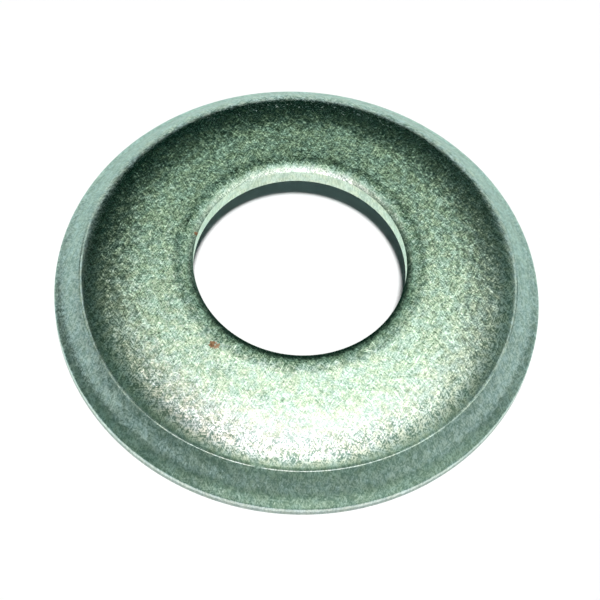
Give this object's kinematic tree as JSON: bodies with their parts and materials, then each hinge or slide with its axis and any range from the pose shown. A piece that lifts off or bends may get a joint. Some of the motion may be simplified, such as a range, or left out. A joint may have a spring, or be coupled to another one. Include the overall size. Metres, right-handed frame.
{
  "type": "conical washer",
  "caption": "Pressed steel conical washer: a low conical crown, round shoulder and steep skirt about a clear bore, to spread a bolt's load.",
  "frame": {"origin": "centre of the rim's flat underside, on the bore axis", "axes": "+Z along the bore axis, from the rim towards the crown; X and Y are free, because the washer is round"},
  "size_m": [0.03, 0.03, 0.0043],
  "materials": {
    "steel": "tumbled"
  },
  "bodies": {
    "root": {"washer": "steel"}
  },
  "joints": []
}
